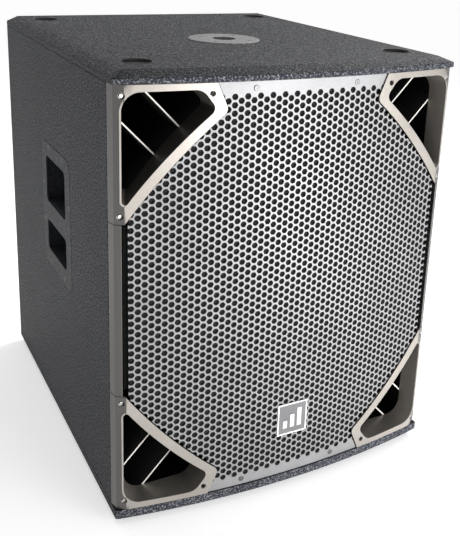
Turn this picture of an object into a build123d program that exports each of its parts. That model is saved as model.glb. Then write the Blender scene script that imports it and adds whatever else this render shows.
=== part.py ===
from build123d import *
import math
import os

# Pa speaker cabinet: a ported 18-inch bass cabinet. Millimetres. X runs to the right of someone
# facing the front, Y to the back and Z up. The origin is on the floor, under the middle of the box.

# Driving dimensions of the box
WIDTH = 530.0
DEPTH = 624.0
PANEL_DEPTH = 599.0
FOOT_HEIGHT = 9.0
BOX_HEIGHT = 640.0
WOOD = 16.0
BAFFLE_WOOD = 18.0
PORT_WOOD = 12.0
TOP_CHAMFER_HEIGHT = 8.4
TOP_CHAMFER_WIDTH = 19.5
BOTTOM_CHAMFER = 3.0
SIDE_SETBACK = 20.8
BAFFLE_SETBACK = 26.0
BACK_SETBACK = 10.0

# Gaps between parts: a loose fit, a close fit, and how far a cut runs past a surface
FIT = 0.5
TRIM_FIT = 0.3
HAIRLINE = 0.2
PAST = 10.0

# The bowed front: an arc across the full width, standing BOW out at the middle
BOW = DEPTH - PANEL_DEPTH
HALF = WIDTH / 2
FRONT = -DEPTH / 2
BACK = DEPTH / 2
CORNER = FRONT + BOW
BOW_RADIUS = (HALF ** 2 + BOW ** 2) / (2 * BOW)
BOW_CENTRE = FRONT + BOW_RADIUS

# Levels and inner faces that follow from them
BOX_BOTTOM = FOOT_HEIGHT
BOX_TOP = FOOT_HEIGHT + BOX_HEIGHT
INNER_BOTTOM = BOX_BOTTOM + WOOD
INNER_TOP = BOX_TOP - WOOD
MIDDLE = (INNER_BOTTOM + INNER_TOP) / 2
INNER_HALF_HEIGHT = (INNER_TOP - INNER_BOTTOM) / 2
INNER_HALF_WIDTH = HALF - WOOD
SIDE_FRONT = CORNER + SIDE_SETBACK
BAFFLE_FRONT = CORNER + BAFFLE_SETBACK
BAFFLE_BACK = BAFFLE_FRONT + BAFFLE_WOOD
BACK_PANEL_REAR = BACK - BACK_SETBACK
BACK_PANEL_FRONT = BACK_PANEL_REAR - WOOD

# Corner ports and their boards, set across the corners
PORT_ANGLE = 43.87
PORT_FACE = 284.0
PORT_LENGTH = 281.0
BAND_LENGTH = 900.0
FIN_THICKNESS = 2.0
FIN_DEPTH = 55.0
FIN_POINTS = ((211.0, 287.0), (238.5, 245.0))
FIN_DIRECTION = (0.69, 0.72)

# Corner trims and side strips, as points to the right of the middle of the front and above it
TRIM_WALL = 3.0
COLLAR_WALL = 2.4
CREASE = 250.0
BEVEL_END = (262.0, 5.0)
BEVEL_INSIDE = 1.5
SIDE_END = 264.6
TRIM_INNER = 100.0
TRIM_END = 123.5
TRIM_TOP = (132.0, 304.0)
TRIM_LOW = (116.0, 267.0)
TRIM_BULGE = (188.0, 199.6)
TRIM_ROUNDING = 10.0
STRIP_INNER = 253.5
SEAM = 0.5

# A port's mouth, which narrows from the front to its rim at the baffle
MOUTH = (262.9, 296.2)
MOUTH_AHEAD = 28.0
RIM = (244.0, 292.0)
PORT_END = (131.5, 269.5)
PORT_BULGE = (195.7, 210.6)
PORT_TIP = (253.3, 142.0)
PORT_TIP_SLOPE = 1.19
PORT_TOP_START = 151.5
PORT_ROUNDINGS = (4.5, 25.0, 20.0, 10.0)
COLLAR_HALF_WIDTH = 261.0

# Screws of the trims: three to a trim, each head sunk in a boss behind the skin
TRIM_SCREWS = ((252.6, 290.0), (138.5, 290.0), (255.0, 134.5))
TRIM_HEAD_RADIUS = 2.9
TRIM_HEAD_HEIGHT = 2.0
TRIM_HEAD_SINK = 1.3
TRIM_SCREW_LENGTH = 30.0
COUNTERBORE_RADIUS = 3.9
CLEARANCE_RADIUS = 1.9
BOSS_RADIUS = 5.4
BOSS_FLOOR = 2.2

# Battens behind the front
LONG_BATTEN_HALF = 142.0
LONG_BATTEN_LOW = 286.0
SIDE_BATTEN_INNER = 236.0
SIDE_BATTEN_HALF = 118.0
PILOT_RADIUS = 1.6

# Grille, foam and badge
GRILLE_SETBACK = 3.5
GRILLE_SHEET = 1.5
FOAM = 6.0
GRILLE_HALF_WIDTH = 245.0
GRILLE_GAP = 1.5
GRILLE_SCREWS = ((78.0, 294.5), (-78.0, 294.5), (78.0, -294.5), (-78.0, -294.5))
GRILLE_HOLE_RADIUS = 2.4
GRILLE_HEAD_RADIUS = 4.2
GRILLE_HEAD_HEIGHT = 1.8
GRILLE_SCREW_LENGTH = 22.0
FOAM_INSET = 2.0
FOAM_HOLE_RADIUS = 3.5
BADGE_SIZE = (50.0, 52.0)
BADGE_PLACE = (3.0, 118.0)
BADGE_THICKNESS = 2.6
BADGE_RELIEF = 0.6
BADGE_BORDER = 2.2
BADGE_BAR_WIDTH = 7.0
BADGE_BAR_STEP = 12.0
BADGE_BAR_FOOT = -15.0
BADGE_BARS = (12.0, 21.0, 30.0)
CROSS_WIDTH = 0.9

# Bass driver, on an axis along Y through the middle of the baffle
FLANGE_RADIUS = 231.0
CUTOUT_RADIUS = 212.0
FLANGE_THICKNESS = 7.0
BASKET_DEPTH = 128.0
BASKET_FLOOR = 6.0
BOLT_CIRCLE = 222.5
BOLT_COUNT = 8
BOLT_HOLE_RADIUS = 3.2
BOLT_HEAD = 5.0
BOLT_LENGTH = 28.0
WINDOW_COUNT = 6
WINDOW_SIZE = (74.0, 104.0)
WINDOW_RADIUS = 160.0
CONE_RADIUS = 194.0
CONE_SETBACK = -8.0
CONE_SLOPE = 0.634
CONE_PAPER = 1.6
CAP_RADIUS = 66.0
CAP_RISE = 22.0
CAP_PAPER = 1.2
COIL_RADIUS = 50.0
COIL_WINDING = 24.0
ROLL_OUTER = 204.0
ROLL_HEIGHT = 6.0
CLOTH = 1.2
SURROUND_OUTER = 214.0
SPIDER_RADIUS = 97.0
SPIDER_WAVES = 5
SPIDER_WAVE_HEIGHT = 1.6
PLATE_THICKNESS = 10.0
MAGNET_THICKNESS = 25.0
BACK_PLATE_THICKNESS = 12.0
TOP_PLATE_RADIUS = 90.0
MAGNET_RADIUS = 110.0
MAGNET_HOLE = 62.0
VENT_RADIUS = 18.0
GASKET = (217.0, 214.4)
GASKET_THICKNESS = 3.0

# Bar handles, one in each side
HANDLE_CENTRE = (-4.0, 376.0)
HANDLE_PLATE = (166.0, 210.0)
HANDLE_CORNER = 18.0
HANDLE_OPENING_WIDTH = 110.0
HANDLE_UPPER = (382.0, 458.0)
HANDLE_LOWER = (299.0, 350.0)
HANDLE_DEPTH = 78.0
HANDLE_WALL = 3.0
HANDLE_RIM = 12.0
CUP_MARGIN = (8.0, 4.0)
CUP_ROUNDING = 12.0
CUP_FLOOR_ROUNDING = 10.0
BAR_DEPTH = 30.0
BAR_ROUNDING = 7.0

# Pole socket, stacking cups and feet
SOCKET_PLACE = (0.0, -44.0)
SOCKET_RADIUS = 18.25
SOCKET_WALL = 3.0
SOCKET_DEPTH = 84.0
FLANGE_DISC_RADIUS = 57.0
FLANGE_DISC = 3.0
FLANGE_PROUD = 1.0
FLANGE_SCREW_CIRCLE = 41.0
FOOT_X = 208.0
FOOT_FRONT_Y = -218.0
FOOT_REAR_Y = 254.0
FOOT_RADIUS = 19.0
FOOT_TAPER = 1.5
FOOT_BORE_RADIUS = 6.5
FOOT_BORE_DEPTH = 4.5
CUP_RADIUS = 22.0
CUP_DEPTH = 6.0
CUP_WALL = 1.4
CUP_PROUD = 0.4

# Connector dish in the back
DISH_CENTRE_Z = 200.0
DISH_PLATE = (150.0, 110.0)
DISH_POCKET = (116.0, 76.0)
DISH_DEPTH = 30.0
DISH_WALL = 3.0
DISH_CORNER = 8.0
PLUG_FLANGE = (30.0, 36.0)
PLUG_FLANGE_THICKNESS = 2.5
PLUG_SCREW = (11.5, 14.5)
PLUG_SOCKET_X = 27.0
PLUG_WALL_RADIUS = 12.4
PLUG_CORE_RADIUS = 4.6
PLUG_BODY_WALL = 1.6

# Brace from side to side behind the driver
BRACE_FRONT = 120.0
BRACE_HALF_HEIGHT = 30.0

os.makedirs("parts", exist_ok=True)


def save(shape, node):
    """Writes one node's solids to its own file."""
    export_step(shape, "parts/" + node + ".step")


def bow_y(x, setback=0.0):
    """Depth of the bowed front at x, a little way behind its outer surface."""
    return BOW_CENTRE - math.sqrt((BOW_RADIUS - setback) ** 2 - x ** 2)


def box(low, high):
    """A block between two corners."""
    size = [b - a for a, b in zip(low, high)]
    middle = [(a + b) / 2 for a, b in zip(low, high)]
    return Pos(*middle) * Box(*size)


def behind_bow(setback, half_width, rear, bottom, top):
    """Everything behind the bowed front, between two levels."""
    corner_y = bow_y(half_width, setback)
    outline = Curve() + [
        ThreePointArc((-half_width, corner_y), (0, bow_y(0, setback)), (half_width, corner_y)),
        Polyline((half_width, corner_y), (half_width, rear), (-half_width, rear), (-half_width, corner_y)),
    ]
    return Pos(0, 0, bottom) * extrude(make_face(outline), amount=top - bottom)


def facing(y):
    """A plane that looks out of the front, with its origin level with the baffle's middle."""
    return Plane(origin=(0, y, MIDDLE), x_dir=(1, 0, 0), z_dir=(0, -1, 0))


def through(sketch, front_y, rear_y):
    """A sketch drawn on the front, taken from front_y to rear_y."""
    return extrude(facing(rear_y) * sketch, amount=rear_y - front_y)


def rod(x, z, radius, front_y, rear_y):
    """A round bar along Y."""
    return through(Pos(x, z - MIDDLE) * Circle(radius), front_y, rear_y)


def turned(points, centre_z=MIDDLE):
    """A ring turned about the driver's axis, from (radius, y) points."""
    profile = make_face(Polyline(*[(r, y) for r, y in points], close=True))
    about = Plane(origin=(0, 0, centre_z), x_dir=(1, 0, 0), z_dir=(0, 0, 1))
    return revolve(about * profile, axis=Axis((0, 0, centre_z), (0, 1, 0)))


def corners():
    """The four corners of the front: name, then the side and the level that each is on."""
    return (
        ("top_left", -1, 1),
        ("top_right", 1, 1),
        ("bottom_left", -1, -1),
        ("bottom_right", 1, -1),
    )


def to_corner(shape, side, level):
    """Mirrors a piece made for the upper right corner to another one."""
    if side < 0:
        shape = mirror(shape, about=Plane.YZ)
    if level < 0:
        shape = mirror(shape, about=Plane.XY.offset(MIDDLE))
    return shape


def cup_places():
    """Middles of the feet, and of the cups above them."""
    return [(x, y) for x in (-FOOT_X, FOOT_X) for y in (FOOT_FRONT_Y, FOOT_REAR_Y)]


# Plywood box -------------------------------------------------------------------------------

def top_panel():
    panel = behind_bow(0.0, HALF, BACK, INNER_TOP, BOX_TOP)
    top = panel.faces().sort_by(Axis.Z)[-1]
    edges = [e for e in top.edges() if e.center().Y < BACK - 1]
    panel = chamfer(edges, TOP_CHAMFER_WIDTH, TOP_CHAMFER_HEIGHT, reference=top)
    sx, sy = SOCKET_PLACE
    panel -= Pos(sx, sy, BOX_TOP) * Cylinder(FLANGE_DISC_RADIUS + FIT, 2 * (FLANGE_DISC - FLANGE_PROUD))
    panel -= Pos(sx, sy, BOX_TOP) * Cylinder(SOCKET_RADIUS + SOCKET_WALL + FIT, 4 * WOOD)
    for x, y in cup_places():
        panel -= Pos(x, y, BOX_TOP) * Cylinder(CUP_RADIUS, 2 * CUP_DEPTH)
    return panel


def bottom_panel():
    panel = behind_bow(0.0, HALF, BACK, BOX_BOTTOM, INNER_BOTTOM)
    return chamfer(panel.faces().sort_by(Axis.Z)[0].edges(), BOTTOM_CHAMFER)


def handle_outline(grow):
    width, height = HANDLE_PLATE
    return RectangleRounded(width + grow, height + grow, HANDLE_CORNER + grow / 2)


def sideways(x):
    """A plane on the left side, centred on the handle, looking out of the box."""
    return Plane(origin=(x, HANDLE_CENTRE[0], HANDLE_CENTRE[1]), x_dir=(0, -1, 0), z_dir=(-1, 0, 0))


def left_panel():
    panel = box((-HALF, SIDE_FRONT, INNER_BOTTOM), (-INNER_HALF_WIDTH, BACK, INNER_TOP))
    panel -= extrude(sideways(-HALF) * handle_outline(2 * FIT), amount=-HANDLE_WALL)
    hole = RectangleRounded(HANDLE_PLATE[0] - 2 * HANDLE_RIM, HANDLE_PLATE[1] - 2 * HANDLE_RIM, HANDLE_RIM)
    return panel - extrude(sideways(-HALF) * hole, amount=-2 * WOOD)


def back_panel():
    low = (-INNER_HALF_WIDTH, BACK_PANEL_FRONT, INNER_BOTTOM)
    high = (INNER_HALF_WIDTH, BACK_PANEL_REAR, INNER_TOP)
    grow = 2 * (DISH_WALL + FIT)
    hole = RectangleRounded(DISH_POCKET[0] + grow, DISH_POCKET[1] + grow, DISH_CORNER)
    hole = Pos(0, DISH_CENTRE_Z - MIDDLE) * hole
    return box(low, high) - through(hole, BACK_PANEL_FRONT - PAST, BACK_PANEL_REAR + PAST)


def across_corner(inner, outer):
    """A band across the upper right corner, inside the box, between two distances from the middle."""
    band = Rot(0, 0, PORT_ANGLE) * Pos((inner + outer) / 2, 0) * Rectangle(outer - inner, BAND_LENGTH)
    return band & Rectangle(2 * INNER_HALF_WIDTH, 2 * INNER_HALF_HEIGHT)


def baffle():
    panel = Rectangle(2 * INNER_HALF_WIDTH, 2 * INNER_HALF_HEIGHT) - Circle(CUTOUT_RADIUS)
    cut = across_corner(PORT_FACE - PORT_WOOD, 2 * PORT_FACE)
    for side, level in ((1, 1), (-1, 1), (1, -1), (-1, -1)):
        panel -= scale(cut, by=(side, level, 1))
    return through(panel, BAFFLE_FRONT, BAFFLE_BACK)


def port_board():
    return through(across_corner(PORT_FACE - PORT_WOOD, PORT_FACE), BAFFLE_FRONT, BAFFLE_FRONT + PORT_LENGTH)


def port_fins():
    fins = []
    room = across_corner(PORT_FACE, 2 * PORT_FACE)
    angle = math.degrees(math.atan2(FIN_DIRECTION[1], FIN_DIRECTION[0]))
    for x, z in FIN_POINTS:
        strip = Pos(x, z) * Rot(0, 0, angle) * Rectangle(BAND_LENGTH, FIN_THICKNESS)
        fins.append(through(strip & room, BAFFLE_FRONT + HAIRLINE, BAFFLE_FRONT + FIN_DEPTH))
    return Compound(fins)


save(top_panel(), "top_panel")
save(bottom_panel(), "bottom_panel")
save(left_panel(), "left_side_panel")
save(mirror(left_panel(), about=Plane.YZ), "right_side_panel")
save(back_panel(), "back_panel")
save(baffle(), "baffle")
for name, side, level in corners():
    save(to_corner(port_board(), side, level), "port_board_" + name)
    save(to_corner(port_fins(), side, level), "port_fins_" + name)


# Corner trims, side strips and the battens behind them --------------------------------------

def edge_section(inner_x):
    """Plan section of a trim's skin on the right: the bowed face, the bevel and the side."""
    crease_y = bow_y(CREASE)
    bevel_x, bevel_y = BEVEL_END[0], CORNER + BEVEL_END[1]
    inner_y = bow_y(inner_x) if inner_x < CREASE else crease_y + (bevel_y - crease_y) * (
        (inner_x - CREASE) / (bevel_x - CREASE))
    rear = SIDE_FRONT - TRIM_FIT
    outer = [(bevel_x, bevel_y), (SIDE_END, rear)]
    inner = [(SIDE_END - TRIM_WALL, rear), (bevel_x - TRIM_WALL, bevel_y + BEVEL_INSIDE)]
    if inner_x < CREASE:
        middle = (inner_x + CREASE) / 2
        back = (CREASE - 1, bow_y(CREASE - 1, TRIM_WALL))
        lines = [
            ThreePointArc((inner_x, inner_y), (middle, bow_y(middle)), (CREASE, crease_y)),
            Polyline((CREASE, crease_y), *outer, *inner, back),
            ThreePointArc(back, (middle, bow_y(middle, TRIM_WALL)), (inner_x, bow_y(inner_x, TRIM_WALL))),
            Line((inner_x, bow_y(inner_x, TRIM_WALL)), (inner_x, inner_y)),
        ]
        return make_face(Curve() + lines)
    points = [(inner_x, inner_y)] + outer + inner + [(inner_x, inner_y + TRIM_WALL)]
    return make_face(Polyline(*points, close=True))


def trim_outline():
    """Outline of the upper right trim, measured from the middle of the front."""
    end = (CREASE, TRIM_END + SEAM)
    lines = [
        Line(TRIM_TOP, TRIM_LOW),
        ThreePointArc(TRIM_LOW, TRIM_BULGE, end),
        Polyline(end, (HALF + 1, end[1]), (HALF + 1, TRIM_TOP[1]), TRIM_TOP),
    ]
    face = make_face(Curve() + lines)
    return fillet(face.vertices().sort_by_distance((*TRIM_LOW, 0))[0:1], TRIM_ROUNDING)


def port_outline(side_x, top_z):
    """Outline of the port's mouth: side, top, slanted end and the arc round the driver."""
    tip = (side_x, PORT_TIP[1] - PORT_TIP_SLOPE * (side_x - PORT_TIP[0]))
    start = (PORT_TOP_START, top_z)
    lines = [
        ThreePointArc(PORT_END, PORT_BULGE, tip),
        Polyline(tip, (side_x, top_z), start, PORT_END),
    ]
    face = make_face(Curve() + lines)
    for corner, radius in zip((tip, (side_x, top_z), start, PORT_END), PORT_ROUNDINGS):
        face = fillet(face.vertices().sort_by_distance((*corner, 0))[0:1], radius)
    return face


def collar(grow):
    """The tapered tunnel behind a port's mouth, as a solid that reaches past the front."""
    mouth = offset(port_outline(*MOUTH), grow) if grow else port_outline(*MOUTH)
    rim = offset(port_outline(*RIM), grow) if grow else port_outline(*RIM)
    front, rear = CORNER - MOUTH_AHEAD, BAFFLE_FRONT - HAIRLINE
    return loft([facing(front) * mouth, facing(rear) * rim], ruled=True)


def skin_y(x):
    """Depth of a trim's outer surface at x, on the bowed face or on the bevel."""
    bevel = (CORNER + BEVEL_END[1] - bow_y(CREASE)) / (BEVEL_END[0] - CREASE)
    return bow_y(x) if x < CREASE else bow_y(CREASE) + (x - CREASE) * bevel


def inside_skin(bottom, top):
    """All that lies behind a trim's outer surface, on the right."""
    middle = (TRIM_INNER + CREASE) / 2
    inner, crease = (TRIM_INNER, skin_y(TRIM_INNER)), (CREASE, skin_y(CREASE))
    bevel_x, rear = BEVEL_END[0], BAFFLE_FRONT
    lines = [
        ThreePointArc(inner, (middle, skin_y(middle)), crease),
        Polyline(crease, (bevel_x, skin_y(bevel_x)), (bevel_x, rear), (TRIM_INNER, rear), inner),
    ]
    return Pos(0, 0, bottom) * extrude(make_face(Curve() + lines), amount=top - bottom)


def boss(x, z):
    """Round post behind the skin, in which a screw's head is sunk."""
    floor = skin_y(x) + TRIM_HEAD_SINK + TRIM_HEAD_HEIGHT + BOSS_FLOOR
    return rod(x, MIDDLE + z, BOSS_RADIUS, FRONT, floor) & inside_skin(MIDDLE, INNER_TOP)


def trim():
    bottom, top = MIDDLE + TRIM_END + SEAM, INNER_TOP - TRIM_FIT
    skin = Pos(0, 0, bottom) * extrude(edge_section(TRIM_INNER), amount=top - bottom)
    skin &= through(trim_outline(), FRONT - PAST, SIDE_FRONT + PAST)
    behind = behind_bow(TRIM_FIT, COLLAR_HALF_WIDTH, BAFFLE_FRONT, bottom, INNER_TOP - FIT)
    piece = skin + (collar(COLLAR_WALL) & behind)
    for x, z in TRIM_SCREWS:
        piece += boss(x, z)
    piece -= collar(0.0)
    for x, z in TRIM_SCREWS:
        seat = skin_y(x) + TRIM_HEAD_SINK + TRIM_HEAD_HEIGHT
        piece -= rod(x, MIDDLE + z, COUNTERBORE_RADIUS, FRONT - PAST, seat)
        piece -= rod(x, MIDDLE + z, CLEARANCE_RADIUS, seat, BAFFLE_FRONT)
    return piece


def side_strip():
    length = 2 * TRIM_END - SEAM
    return Pos(0, 0, MIDDLE - length / 2) * extrude(edge_section(STRIP_INNER), amount=length)


def long_batten():
    """Under the top panel, between the trims: the grille and the trims' inner screws go into it."""
    setback, low = GRILLE_SETBACK + GRILLE_SHEET + FOAM, MIDDLE + LONG_BATTEN_LOW
    block = behind_bow(setback, LONG_BATTEN_HALF, BAFFLE_FRONT, low, INNER_TOP)
    inner_x, inner_z = TRIM_SCREWS[1]
    holes = [(x, z) for x, z in GRILLE_SCREWS if z > 0] + [(inner_x, inner_z), (-inner_x, inner_z)]
    for x, z in holes:
        block -= rod(x, MIDDLE + z, PILOT_RADIUS, FRONT, BAFFLE_FRONT - 2)
    return block


def side_batten():
    front = bow_y(GRILLE_HALF_WIDTH, GRILLE_SETBACK + GRILLE_SHEET + FOAM) + HAIRLINE
    low, high = MIDDLE - SIDE_BATTEN_HALF, MIDDLE + SIDE_BATTEN_HALF
    return box((SIDE_BATTEN_INNER, front, low), (INNER_HALF_WIDTH, BAFFLE_FRONT, high))


for name, side, level in corners():
    save(to_corner(trim(), side, level), "corner_trim_" + name)
save(side_strip(), "side_strip_right")
save(mirror(side_strip(), about=Plane.YZ), "side_strip_left")
save(long_batten(), "batten_top")
save(to_corner(long_batten(), 1, -1), "batten_bottom")
save(side_batten(), "batten_right")
save(mirror(side_batten(), about=Plane.YZ), "batten_left")


# Grille, foam and badge ---------------------------------------------------------------------

def grille_outline(inset):
    """Bowed sheet's outline: a rectangle whose corners clear the four trims."""
    outline = Rectangle(2 * (GRILLE_HALF_WIDTH - inset), 2 * (INNER_HALF_HEIGHT - FIT - inset))
    corner = offset(trim_outline(), GRILLE_GAP + inset)
    for side, level in ((1, 1), (-1, 1), (1, -1), (-1, -1)):
        outline -= scale(corner, by=(side, level, 1))
    return outline


def bowed_sheet(setback, thickness, inset):
    sheet = behind_bow(setback, HALF, BAFFLE_FRONT, INNER_BOTTOM, INNER_TOP)
    sheet -= behind_bow(setback + thickness, HALF, BAFFLE_FRONT + 1, INNER_BOTTOM - 1, INNER_TOP + 1)
    return sheet & through(grille_outline(inset), FRONT - PAST, BAFFLE_FRONT + PAST)


def grille():
    sheet = bowed_sheet(GRILLE_SETBACK, GRILLE_SHEET, 0.0)
    for x, z in GRILLE_SCREWS:
        sheet -= rod(x, MIDDLE + z, GRILLE_HOLE_RADIUS, FRONT - PAST, BAFFLE_FRONT)
    return sheet


def foam():
    sheet = bowed_sheet(GRILLE_SETBACK + GRILLE_SHEET, FOAM, FOAM_INSET)
    for x, z in GRILLE_SCREWS:
        sheet -= rod(x, MIDDLE + z, FOAM_HOLE_RADIUS, FRONT - PAST, BAFFLE_FRONT)
    return sheet


def badge():
    """A plain plate with a raised border and a level-meter mark of three bars."""
    rear = FRONT + GRILLE_SETBACK
    width, height = BADGE_SIZE
    here = Pos(BADGE_PLACE[0], BADGE_PLACE[1] - MIDDLE)
    plate = through(here * Rectangle(width, height), rear - BADGE_THICKNESS + BADGE_RELIEF, rear)
    shapes = [Rectangle(width, height) - Rectangle(width - 2 * BADGE_BORDER, height - 2 * BADGE_BORDER)]
    for i, bar in enumerate(BADGE_BARS):
        place = Pos(BADGE_BAR_STEP * (i - 1), BADGE_BAR_FOOT + bar / 2)
        shapes.append(place * Rectangle(BADGE_BAR_WIDTH, bar))
    for shape in shapes:
        plate += through(here * shape, rear - BADGE_THICKNESS, rear - BADGE_THICKNESS / 2)
    return plate - behind_bow(GRILLE_SETBACK, HALF, BACK, 0, BOX_TOP)


save(grille(), "grille")
save(foam(), "grille_foam")
save(badge(), "badge")


# Screws -------------------------------------------------------------------------------------

def front_screw(x, z, head_y, head_radius, head_height, length, shank=1.5):
    """A pan-head screw driven in from the front, with a cross in its head."""
    head = rod(x, z, head_radius, head_y, head_y + head_height)
    head = fillet(head.edges().group_by(Axis.Y)[0], head_height * 0.45)
    for angle in (0, 90):
        cross = Pos(x, z - MIDDLE) * Rot(0, 0, angle) * Rectangle(head_radius, CROSS_WIDTH)
        head -= through(cross, head_y - 1, head_y + head_height * 0.5)
    return head + rod(x, z, shank, head_y + head_height - HAIRLINE, head_y + length)


def trim_screws():
    screws = []
    for _, side, level in corners():
        for x, z in TRIM_SCREWS:
            place = (side * x, MIDDLE + level * z, skin_y(x) + TRIM_HEAD_SINK)
            screws.append(front_screw(*place, TRIM_HEAD_RADIUS, TRIM_HEAD_HEIGHT, TRIM_SCREW_LENGTH))
    return Compound(screws)


def grille_screws():
    screws = []
    for x, z in GRILLE_SCREWS:
        head_y = bow_y(x, GRILLE_SETBACK) - GRILLE_HEAD_HEIGHT - TRIM_FIT
        place = (x, MIDDLE + z, head_y)
        screws.append(front_screw(*place, GRILLE_HEAD_RADIUS, GRILLE_HEAD_HEIGHT, GRILLE_SCREW_LENGTH))
    return Compound(screws)


save(trim_screws(), "trim_screws")
save(grille_screws(), "grille_screws")


# Bass driver --------------------------------------------------------------------------------

FLANGE_FRONT = BAFFLE_FRONT - FLANGE_THICKNESS
BASKET_REAR = BAFFLE_FRONT + BASKET_DEPTH
CONE_FRONT = BAFFLE_FRONT + CONE_SETBACK
MAGNET_FRONT = BASKET_REAR + PLATE_THICKNESS
MAGNET_REAR = MAGNET_FRONT + MAGNET_THICKNESS


def basket():
    floor = BASKET_REAR - BASKET_FLOOR
    shell = turned([
        (FLANGE_RADIUS, FLANGE_FRONT), (FLANGE_RADIUS, BAFFLE_FRONT), (209, BAFFLE_FRONT),
        (104, floor), (104, BASKET_REAR), (56, BASKET_REAR), (56, floor),
        (98, floor), (203, BAFFLE_FRONT - 1), (203, FLANGE_FRONT),
    ])
    for i in range(WINDOW_COUNT):
        turn = 360 / WINDOW_COUNT * (i + 0.5)
        window = Rot(0, 0, turn) * Pos(WINDOW_RADIUS, 0) * RectangleRounded(*WINDOW_SIZE, 12)
        shell -= through(window, BAFFLE_FRONT + 8, BASKET_REAR - 10)
    for x, z in bolt_places():
        shell -= rod(x, z, BOLT_HOLE_RADIUS, FLANGE_FRONT - 5, BAFFLE_FRONT + 5)
    return shell


def bolt_places():
    """Middles of the bolts that hold the frame to the baffle, as x and z."""
    turns = [math.tau * (i + 0.5) / BOLT_COUNT for i in range(BOLT_COUNT)]
    return [(BOLT_CIRCLE * math.cos(turn), MIDDLE + BOLT_CIRCLE * math.sin(turn)) for turn in turns]


def ring(outer, inner, front_y, rear_y):
    return turned([(inner, front_y), (outer, front_y), (outer, rear_y), (inner, rear_y)])


def back_plate():
    """Steel plate behind the magnet, in one with the vented pole inside the coil."""
    rear, pole = MAGNET_REAR + BACK_PLATE_THICKNESS, COIL_RADIUS - 1.2
    return turned([(VENT_RADIUS, BASKET_REAR), (pole, BASKET_REAR), (pole, MAGNET_REAR),
                   (100, MAGNET_REAR), (96, rear), (VENT_RADIUS, rear)])


def cone():
    edge, inner = CONE_RADIUS - CONE_PAPER, COIL_RADIUS + 0.4
    neck = CONE_FRONT + (edge - inner) * CONE_SLOPE
    return turned([
        (CONE_RADIUS, CONE_FRONT), (CONE_RADIUS, CONE_FRONT + 1.8), (inner + CONE_PAPER, neck + 2),
        (inner, neck + 2), (inner, neck), (edge, CONE_FRONT),
    ])


def dust_cap():
    """A shallow cap of a sphere, its edge on the cone."""
    seat = CONE_FRONT + (CONE_RADIUS - CONE_PAPER - CAP_RADIUS) * CONE_SLOPE - 0.05
    radius = (CAP_RADIUS ** 2 + CAP_RISE ** 2) / (2 * CAP_RISE)
    centre = Pos(0, seat - CAP_RISE + radius, MIDDLE)
    shell = centre * Sphere(radius) - centre * Sphere(radius - CAP_PAPER)
    return shell & rod(0, MIDDLE, CAP_RADIUS + 5, seat - 2 * CAP_RISE, seat)


def voice_coil():
    front, rear = BAFFLE_FRONT + 82.0, BASKET_REAR + 22.0
    former = ring(COIL_RADIUS + 0.3, COIL_RADIUS - 0.2, front, rear)
    return former + ring(COIL_RADIUS + 1.0, COIL_RADIUS - 0.2, rear - COIL_WINDING, rear)


def surround():
    """Half-roll of treated cloth between the cone's edge and the frame."""
    inner, lip, base = CONE_RADIUS + 0.6, ROLL_OUTER, FLANGE_FRONT - CLOTH
    outer, rear = SURROUND_OUTER, FLANGE_FRONT
    inner_foot, lip_foot = inner + CLOTH, lip - CLOTH
    middle, crown = (inner + lip) / 2, base - ROLL_HEIGHT
    lines = Curve() + [
        ThreePointArc((inner, base), (middle, crown), (lip, base)),
        Polyline((lip, base), (outer, base), (outer, rear), (lip_foot, rear)),
        ThreePointArc((lip_foot, rear), (middle, crown + CLOTH), (inner_foot, rear)),
        Polyline((inner_foot, rear), (inner, rear), (inner, base)),
    ]
    about = Plane(origin=(0, 0, MIDDLE), x_dir=(1, 0, 0), z_dir=(0, 0, 1))
    return revolve(about * make_face(lines), axis=Axis((0, 0, MIDDLE), (0, 1, 0)))


def spider():
    """Corrugated disc that centres the coil, glued to a ledge in the frame."""
    seat, inner = BASKET_REAR - BASKET_FLOOR - 2.6, COIL_RADIUS + 1.4
    pitch = (SPIDER_RADIUS - inner) / (2 * SPIDER_WAVES)
    front = []
    for i in range(2 * SPIDER_WAVES + 1):
        front.append((inner + pitch * i, seat + SPIDER_WAVE_HEIGHT * (1 if i % 2 else -1)))
    rear = [(r, y + 0.8) for r, y in reversed(front)]
    return turned(front + rear)


def woofer_bolts():
    bolts = []
    for x, z in bolt_places():
        place = (x, z, FLANGE_FRONT - BOLT_HEAD)
        bolts.append(front_screw(*place, BOLT_HEAD, BOLT_HEAD, BOLT_LENGTH, shank=3.0))
    return Compound(bolts)


save(basket(), "woofer_basket")
save(ring(TOP_PLATE_RADIUS, COIL_RADIUS + 2.0, BASKET_REAR, MAGNET_FRONT), "woofer_top_plate")
save(ring(MAGNET_RADIUS, MAGNET_HOLE, MAGNET_FRONT, MAGNET_REAR), "woofer_magnet")
save(back_plate(), "woofer_back_plate")
save(cone(), "woofer_cone")
save(dust_cap(), "woofer_dust_cap")
save(voice_coil(), "voice_coil")
save(surround(), "woofer_surround")
save(spider(), "woofer_spider")
save(ring(*GASKET, FLANGE_FRONT - GASKET_THICKNESS, FLANGE_FRONT), "woofer_gasket")
save(woofer_bolts(), "woofer_bolts")


# Bar handles --------------------------------------------------------------------------------

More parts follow.
